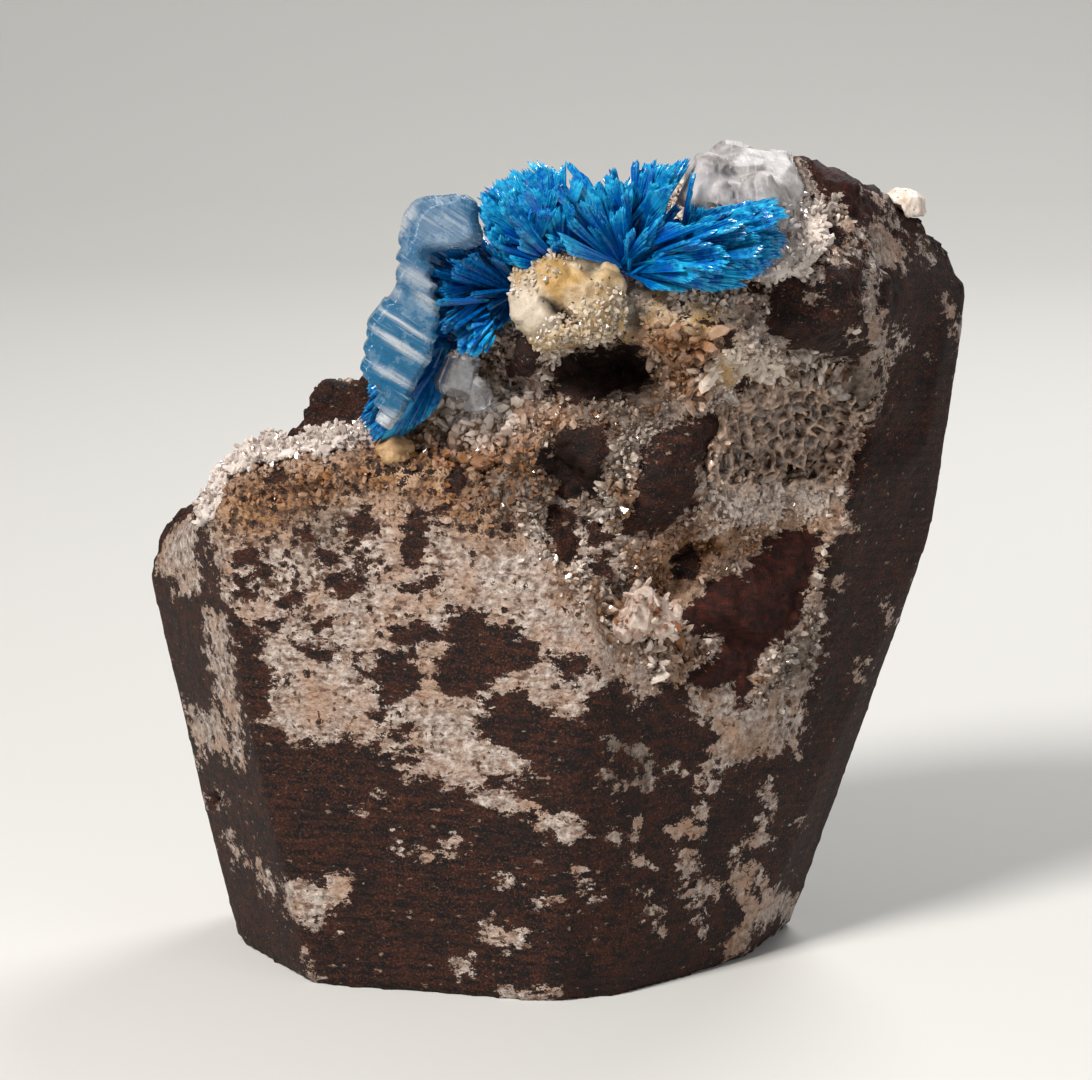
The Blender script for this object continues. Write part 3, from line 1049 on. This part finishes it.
# Stilbite sheaf: a clear to milky crystal grown leaf on leaf, round at its top and stepped down its left side.
# The leaves slope down to the right, silvery where they part, and the blue behind shows through them.
SHEAF_AREA = [
    (402, 262), (400, 236), (403, 214), (412, 202), (424, 196), (440, 196), (452, 194), (464, 195), (472, 199),
    (479, 206), (478, 220), (483, 232), (483, 244), (470, 249), (450, 249), (430, 253), (431, 281), (437, 299),
    (440, 315), (437, 335), (431, 362), (418, 384), (412, 398), (405, 411), (401, 420), (390, 426), (380, 423),
    (378, 400), (378, 384), (370, 378), (363, 373), (367, 345), (370, 320), (384, 303), (396, 284),
]
SHEAF_Y = -7.1
SHEAF_DEPTH = 3.2
SHEAF_TOP = 5.6
SHEAF_LOWER = 265.0
LEAF_SLOPE = math.radians(33.0)
# Silvery places: middle in steps, then half length and half height along the leaves, in mm, and strength.
SILVER = [
    (419, 276, 1.3, 0.5, 0.6), (430, 300, 1.1, 0.5, 0.6), (404, 321, 2.0, 0.14, 1.0), (402, 343, 2.1, 0.24, 1.0),
    (397, 374, 1.2, 0.26, 0.8), (384, 368, 0.7, 0.3, 0.7), (390, 420, 1.1, 0.7, 1.0), (404, 220, 0.4, 1.4, 0.7),
    (446, 228, 2.2, 1.2, 0.25), (395, 290, 0.6, 0.4, 0.4),
]


def at_depth(steps, y):
    """The x and z, in mm, of marks seen on the front that lie at this y."""
    across, down = np.array(steps, float).T - FRONT_MIDDLE[:, None]
    rise = -down * STEP / EYE_AWAY
    level = y - EYE[1]
    lift = level * (rise * math.cos(EYE_RISE) - math.sin(EYE_RISE)) / (math.cos(EYE_RISE) + rise * math.sin(EYE_RISE))
    away = level * math.cos(EYE_RISE) - lift * math.sin(EYE_RISE)
    return across * STEP / EYE_AWAY * away, lift + EYE[2]


def along_leaves(x, z):
    """Places on the front as lengths along the sheaf's leaves and across them, in mm."""
    return x * math.cos(LEAF_SLOPE) - z * math.sin(LEAF_SLOPE), x * math.sin(LEAF_SLOPE) + z * math.cos(LEAF_SLOPE)


def span_at(along, levels, level):
    """Where a line at this level enters and leaves an outline."""
    met = []
    for a, b, low, high in zip(along, np.roll(along, -1), levels, np.roll(levels, -1)):
        if (low > level) != (high > level):
            met.append(a + (b - a) * (level - low) / (high - low))
    return min(met), max(met)


def leaf(into, size, place, corner):
    """A thin crystal leaf added to a mesh, its outline's corners cut."""
    x, y, z = (side / 2 for side in size)
    corner = min(corner, 0.8 * x, 0.8 * y)
    outline = [
        (x - corner, y), (x, y - corner), (x, corner - y), (x - corner, -y), (corner - x, -y), (-x, corner - y),
        (-x, y - corner), (corner - x, y),
    ]
    close_rings(into, [[into.verts.new(place @ Vector((*spot, level))) for spot in outline] for level in (z, -z)])


def stilbite_material():
    # Stilbite: colourless, pearly on the leaves and glassy on the edges, milky inside, tinted by the blue behind.
    made, tree, shader, place = new_material("stilbite, pearly clear", IOR=1.5, Transmission_Weight=0.55)
    kept = {key: add(tree, STORED, attribute_name=key).outputs["Fac"] for key in ("silver", "lower")}
    turned = add(tree, MAPPING, {"Vector": place, "Rotation": (0.0, -LEAF_SLOPE, 0.0)})
    drawn = add(tree, MAPPING, {"Vector": turned, "Scale": (0.12, 0.4, 2.2)})
    ribs = add(tree, NOISE, {"Vector": drawn, "Scale": 2.6, "Detail": 4.0, "Roughness": 0.65})
    cloud = add(tree, NOISE, {"Vector": place, "Scale": 1.1, "Detail": 4.0, "Roughness": 0.6})
    body = add(tree, MIX, {0: kept["lower"], 6: linear("#3b78a2"), 7: linear("#0076a4")}, data_type="RGBA")
    for noises, low, high, most, colour in (
        (cloud, 0.5, 0.68, 0.4, "#bdd4e4"), (cloud, 0.48, 0.3, 0.6, "#2b6c99"), (ribs, 0.56, 0.67, 0.45, "#dfeaf1"),
    ):
        body = laid_over(tree, body, colour, noises, low, high, most)
    streaked = add(tree, RANGE, {0: ribs, 1: 0.35, 2: 0.55, 3: 0.35, 4: 1.0})
    silver = add(tree, MATH, {0: kept["silver"], 1: streaked}, operation="MULTIPLY")
    body = add(tree, MIX, {0: silver, 6: body, 7: linear("#f4f6f7")}, data_type="RGBA")
    gloss = add(tree, RANGE, {0: cloud, 1: 0.35, 2: 0.65, 3: 0.1, 4: 0.35})
    dress(tree, shader, body, gloss, ribs, 0.7, 0.22)
    return made


chance = random.Random(12)
along, levels = along_leaves(*at_depth(SHEAF_AREA, SHEAF_Y))
top_from, top_to = levels.max() - SHEAF_TOP, levels.max()
leaf_turn = Matrix.Rotation(LEAF_SLOPE, 4, "Y")
# How the next leaves stand off at their left and right ends, in mm, and their share of the depth.
parted = [0.0, 0.0, 1.0]
sheaf_bm = bmesh.new()
level = levels.min() + 0.12
while level < top_to - 0.1:
    in_top = level > top_from
    thickness = 0.24 if in_top else chance.choice((0.2, 0.3, 0.45, 0.9))
    start, end = span_at(along, levels, min(level + thickness / 2, top_to - 0.02))
    if chance.random() < 0.3:
        parted = [0.0 if in_top else chance.uniform(-0.25, 0.12)]
        parted += [chance.uniform(-0.2, 0.2), chance.uniform(0.84, 1.0)]
    start, end = start + parted[0] + chance.uniform(-0.04, 0.04), end + parted[1] * (not in_top)
    round_off = math.sqrt(max(0.15, 1.0 - ((level - top_from) / (top_to - top_from)) ** 2)) if in_top else 1.0
    depth = SHEAF_DEPTH * round_off * (1.0 if in_top else parted[2] + chance.uniform(-0.02, 0.02))
    home = leaf_turn @ Matrix.Translation(((start + end) / 2, SHEAF_Y, level + thickness / 2))
    leaf(sheaf_bm, (max(0.5, end - start), depth, thickness * 1.06), home, 1.25 if in_top else 0.45)
    level += thickness
bmesh.ops.recalc_face_normals(sheaf_bm, faces=sheaf_bm.faces)
sheaf_bm = remeshed(sheaf_bm, 0.11)
points = points_and_normals(sheaf_bm)[0]
along, levels = along_leaves(points[:, 0], points[:, 2])
in_top = ramp(levels, top_from, top_from + 0.6)
for again in range(6):
    rounded = [v for v, share in zip(sheaf_bm.verts, in_top) if share > again / 6 or again < 2]
    bmesh.ops.smooth_vert(sheaf_bm, verts=rounded, factor=0.5, use_axis_x=True, use_axis_y=True, use_axis_z=True)
points = points_and_normals(sheaf_bm)[0]
spots = on_front(points)
silver = np.zeros(len(points))
for across, down, half_long, half_high, strength in SILVER:
    (home_along,), (home_level,) = along_leaves(*at_depth([(across, down)], SHEAF_Y))
    apart = np.hypot((along - home_along) / half_long, (levels - home_level) / half_high)
    silver = np.maximum(silver, strength * ramp(apart, 1.6, 0.6))
sheaf = as_object("stilbite_leaves", sheaf_bm)
keep_values(sheaf.data, silver=silver, lower=ramp(spots[:, 1], SHEAF_LOWER, SHEAF_LOWER + 90.0))
finish_piece(sheaf, "clear_stilbite", "stilbite_sheaf", material=stilbite_material())


# Zeolite mass on the crown: blocky clear and milky crystals grown into each other, white where they are crushed.
def milky_material(name, dark, light, through, roughness):
    # Clear zeolite full of tiny cracks: bright and cloudy with glassy faces.
    made, tree, shader, place = new_material(name, Roughness=roughness, IOR=1.49, Transmission_Weight=through)
    cloud = add(tree, NOISE, {"Vector": place, "Scale": 0.9, "Detail": 4.0, "Roughness": 0.6})
    cracks = add(tree, NOISE, {
        "Vector": add(tree, MAPPING, {"Vector": place, "Scale": (2.4, 0.8, 0.45)}), "Scale": 1.6, "Detail": 3.0,
    })
    body = laid_over(tree, linear(dark), light, cloud, 0.36, 0.62)
    body = laid_over(tree, body, "#dcd7d4", cracks, 0.56, 0.68, 0.6)
    dress(tree, shader, body, None, cracks, 0.3, 0.12)
    return made


def faceted(points, size, seed):
    """Heights of a surface of flat crystal faces this wide."""
    found = []
    for point in points:
        place = Vector(point) / size + Vector((seed, 0.0, 0.0))
        near, seeds = noise.voronoi(place)
        tilt = noise.cell_vector(seeds[0] * 7.3) - Vector((0.5, 0.5, 0.5))
        found.append((place - seeds[0]).dot(tilt) * 1.4)
    return np.array(found)


# Small crystals cover the crown from this many steps down.
CROWN_LOW = 198.0
crown_white = milky_material("crown zeolite, clear to milky", "#8b8483", "#c6c1bf", through=0.3, roughness=0.52)
crown_bm = remeshed(merged_copy("top_zeolite"), 0.22)
points, normals = points_and_normals(crown_bm)
move_out(crown_bm, points, normals, faceted(points, 3.6, 3.0) * 0.35 + lumps(points, 2.4, 1.0) * 0.2 - 0.05)
crown = as_object("crown_zeolite_mass", crown_bm)
low_on_crown = ramp(on_front(points)[:, 1], CROWN_LOW, CROWN_LOW + 20.0)
keep_values(crown.data, growth=low_on_crown * (normals[:, 1] < 0.3))
finish_grown(
    "crown_zeolite", crown, "milky_zeolite", "top_zeolite", crown_white, Crystal=sugar, Crystals_per_mm2=3.0,
    Smallest=0.3, Largest=0.9, Lean=0.6, Seed=9, Material=crown_white,
)


# Cream ball: a waxy lump of fine stilbite needles, cream to yellow, with brown specks and a slot where it is open.
# A white lobe hangs at its lower left, and clear crystals sit on its upper left.
SLOT = [(540, 299), (556, 303), (572, 315), (584, 328), (570, 329), (552, 318)]
WHITE_LOBE = [(500, 290), (530, 280), (552, 300), (560, 330), (520, 335), (500, 320)]
BALL_CRYSTALS = {
    "upper left": [(508, 262), (530, 235), (570, 232), (590, 245), (550, 260), (525, 280)],
    "lower right": [(575, 318), (600, 300), (640, 300), (640, 350), (560, 352), (545, 335)],
}


def waxy_material(name, dark, light, warm):
    # Compact radiating needles: waxy, light sinks a little way in, brown iron specks on top.
    made, tree, shader, place = new_material(name, Roughness=0.42, IOR=1.5)
    shader.inputs["Subsurface Weight"].default_value = 0.3
    shader.inputs["Subsurface Radius"].default_value = (1.0, 0.75, 0.45)
    shader.inputs["Subsurface Scale"].default_value = 0.8 * MM
    kept = {key: add(tree, STORED, attribute_name=key).outputs["Fac"] for key in ("warm", "opening", "pale")}
    cloud = add(tree, NOISE, {"Vector": place, "Scale": 0.7, "Detail": 5.0, "Roughness": 0.62})
    fine = add(tree, NOISE, {"Vector": place, "Scale": 4.0, "Detail": 4.0, "Roughness": 0.65})
    cells = add(tree, CELLS, {"Vector": place, "Scale": 1.6, "Randomness": 1.0})
    drawn = add(tree, "ShaderNodeSeparateColor", {0: cells.outputs["Color"]})
    body = laid_over(tree, linear(dark), light, cloud, 0.36, 0.62)
    body = add(tree, MIX, {0: kept["warm"], 6: body, 7: linear(warm)}, data_type="RGBA")
    body = add(tree, MIX, {0: kept["pale"], 6: body, 7: linear("#bcae9b")}, data_type="RGBA")
    body = laid_over(tree, body, "#8a6a44", fine, 0.42, 0.3, 0.55)
    uneven = add(tree, MATH, {0: fine, 1: 0.5, 2: cells}, operation="MULTIPLY_ADD")
    specks = add(tree, MATH, {
        0: add(tree, RANGE, {0: uneven, 1: 0.42, 2: 0.36}), 1: add(tree, RANGE, {0: drawn, 1: 0.6, 2: 0.64}),
    }, operation="MULTIPLY")
    body = add(tree, MIX, {0: specks, 6: body, 7: linear("#4a2a16")}, data_type="RGBA")
    body = add(tree, MIX, {0: kept["opening"], 6: body, 7: linear("#1a100b")}, data_type="RGBA")
    dress(tree, shader, body, None, fine, 0.6, 0.16)
    return made


cream_wax = waxy_material("cream stilbite, waxy", "#94764f", "#cbb797", "#b08a4c")
ball_bm = remeshed(merged_copy("cream_stilbite_ball"), 0.2)
points, normals = points_and_normals(ball_bm)
spots = on_front(points)
in_slot = share_inside(spots, [SLOT], 0.25) * (normals[:, 1] < 0.1)
swells = lumps(points, 2.4, 6.0) * 0.65 + lumps(points, 1.0, 7.0, 3) * 0.24 + lumps(points, 0.35, 7.0) * 0.08
move_out(ball_bm, points, normals, swells - in_slot * 1.1)
ball = as_object("cream_lump", ball_bm)
pale = ramp(depth_inside(spots + lumps(points, 1.0, 2.0)[:, None] * 8.0, WHITE_LOBE), -0.36, 0.84)
warm = np.clip(lumps(points, 2.0, 8.0) * 1.5 + 0.35 - pale, 0.0, 0.85)
keep_values(
    ball.data, warm=warm, pale=pale, opening=in_slot,
    growth=share_inside(spots, BALL_CRYSTALS.values(), 1.4) * (normals[:, 1] < 0.3), cream=np.full(len(points), 0.9),
)
finish_grown(
    "cream_ball", ball, "cream_stilbite", "cream_stilbite_ball", cream_wax, Crystal=sugar, Crystals_per_mm2=18.0,
    Smallest=0.14, Largest=0.5, Lean=0.9, Seed=19, Material=white_crystals,
)


# Single crystals and knobs of the front: grey clear heulandite, peach heulandite in its vug, the yellow calcite
# knob on the ledge's rim and the white knob at the upper right. All grew on the cement.
def lone_piece(name, node, slot, material, grain=0.0, lump=0.0, per_mm2=0.0, **values):
    """A crystal with its edges bevelled and small ones on it, or where a grain is given a knob with lumps."""
    bm = merged_copy(node)
    if grain:
        bm = remeshed(bm, grain)
        points, normals = points_and_normals(bm)
        move_out(bm, points, normals, lumps(points, lump * 4.0, 2.0, 3) * lump)
    else:
        bmesh.ops.dissolve_limit(bm, angle_limit=math.radians(2.0), verts=bm.verts, edges=bm.edges)
        bmesh.ops.bevel(bm, geom=bm.edges[:], offset=0.05, segments=2, profile=0.6, affect="EDGES")
        bmesh.ops.triangulate(bm, faces=bm.faces)
    piece = as_object(name, bm, smooth=bool(grain))
    count = len(piece.data.vertices)
    keep_values(piece.data, growth=np.ones(count), **{key: np.full(count, value) for key, value in values.items()})
    if per_mm2:
        finish_grown(
            name, piece, slot, node, material, Crystal=tablet, Crystals_per_mm2=per_mm2, Smallest=0.2, Largest=0.8,
            Lean=0.9, Seed=3, Material=material,
        )
    else:
        finish_piece(piece, slot, node, material=material)


lone_piece(
    "grey_heulandite", "heulandite_crystal", "clear_heulandite",
    clear_crystal_material("heulandite, grey and clear", "#807c7e", "#e6e4e6", through=0.8, roughness=0.08),
    per_mm2=0.35, shade=0.6,
)
lone_piece(
    "peach_heulandite", "peach_crystals", "peach_heulandite",
    clear_crystal_material("heulandite, peach", "#9c5f38", "#fdebdc", through=0.5, roughness=0.05),
    per_mm2=2.4, shade=0.75,
)
lone_piece(
    "yellow_calcite", "yellow_knob", "yellow_calcite",
    waxy_material("calcite, yellow", "#7c5d3b", "#b3946c", "#9a7342"), grain=0.14, lump=0.18, warm=0.3,
)
lone_piece(
    "white_crystal_knob", "white_knob", "white_druse",
    waxy_material("white zeolite knob", "#c2ad9a", "#e9dfd5", "#d9bfa4"), grain=0.14, lump=0.2, warm=0.1,
)
bpy.data.objects.remove(sugar)
bpy.data.objects.remove(tablet)


# The room: a pale floor with a soft rise behind, one large soft light above at the left, a weaker one at the
# right, one behind and a pale sky. The camera stands at the eye's place, and its lens gives the photograph's frame.
FLOOR_HALF, FLOOR_FRONT, RISE_FROM, RISE_RADIUS, WALL_TOP = 1400.0, -900.0, 330.0, 220.0, 900.0
SENSOR = 36.0
PHOTO_WIDTH = 1092
def floor_material():
    # A matt painted board: even and pale, with a trace of grain.
    made, tree, shader, place = new_material("pale matt floor", Roughness=0.8)
    shader.inputs["Base Color"].default_value = linear("#cfcdc9")
    return made


floor_bm = bmesh.new()
profile = [(FLOOR_FRONT, 0.0), (RISE_FROM, 0.0)]
for angle in (math.radians(10 * k) for k in range(1, 10)):
    profile.append((RISE_FROM + RISE_RADIUS * math.sin(angle), RISE_RADIUS - RISE_RADIUS * math.cos(angle)))
profile.append((RISE_FROM + RISE_RADIUS, WALL_TOP))
rows = [[floor_bm.verts.new((x, y, z)) for x in (-FLOOR_HALF, FLOOR_HALF)] for y, z in profile]
for low, high in zip(rows, rows[1:]):
    floor_bm.faces.new((low[0], low[1], high[1], high[0]))
floor = as_object("floor", floor_bm)
floor.data.transform(Matrix.Scale(MM, 4))
floor.data.materials.append(floor_material())


def soft_light(name, place, aim, side, watts, tint):
    """A round soft light this wide, with its place and aim in mm."""
    lamp = bpy.data.lights.new(name, "AREA")
    lamp.shape = "DISK"
    lamp.size = side * MM
    lamp.energy = watts
    lamp.color = tint
    obj = in_scene(name, lamp)
    obj.location = Vector(place) * MM
    obj.rotation_euler = (Vector(aim) - Vector(place)).to_track_quat("-Z", "Y").to_euler()


soft_light("key", (-190.0, -260.0, 330.0), (0.0, 0.0, 35.0), 120.0, 2.6, (1.0, 0.98, 0.95))
soft_light("fill", (300.0, -320.0, 140.0), (0.0, 0.0, 30.0), 300.0, 0.42, (0.95, 0.97, 1.0))
soft_light("rim", (120.0, 280.0, 300.0), (0.0, 0.0, 45.0), 160.0, 1.0, (1.0, 1.0, 1.0))
world = bpy.data.worlds.new("pale studio")
world.use_nodes = True
sky = world.node_tree.nodes["Background"].inputs
sky["Color"].default_value = linear("#e8eaee")
sky["Strength"].default_value = 0.22
bpy.context.scene.world = world

camera_data = bpy.data.cameras.new("camera")
camera_data.sensor_width = SENSOR
camera_data.lens = SENSOR * (EYE_AWAY / STEP) / PHOTO_WIDTH
camera_data.clip_start = 10 * MM
camera = in_scene("camera", camera_data)
camera.location = (Vector(EYE) - Vector(MIDDLE)) * MM
camera.rotation_euler = Euler((math.pi / 2 - EYE_RISE, 0.0, 0.0))
bpy.context.scene.camera = camera
bpy.context.scene.view_settings.view_transform = "Standard"
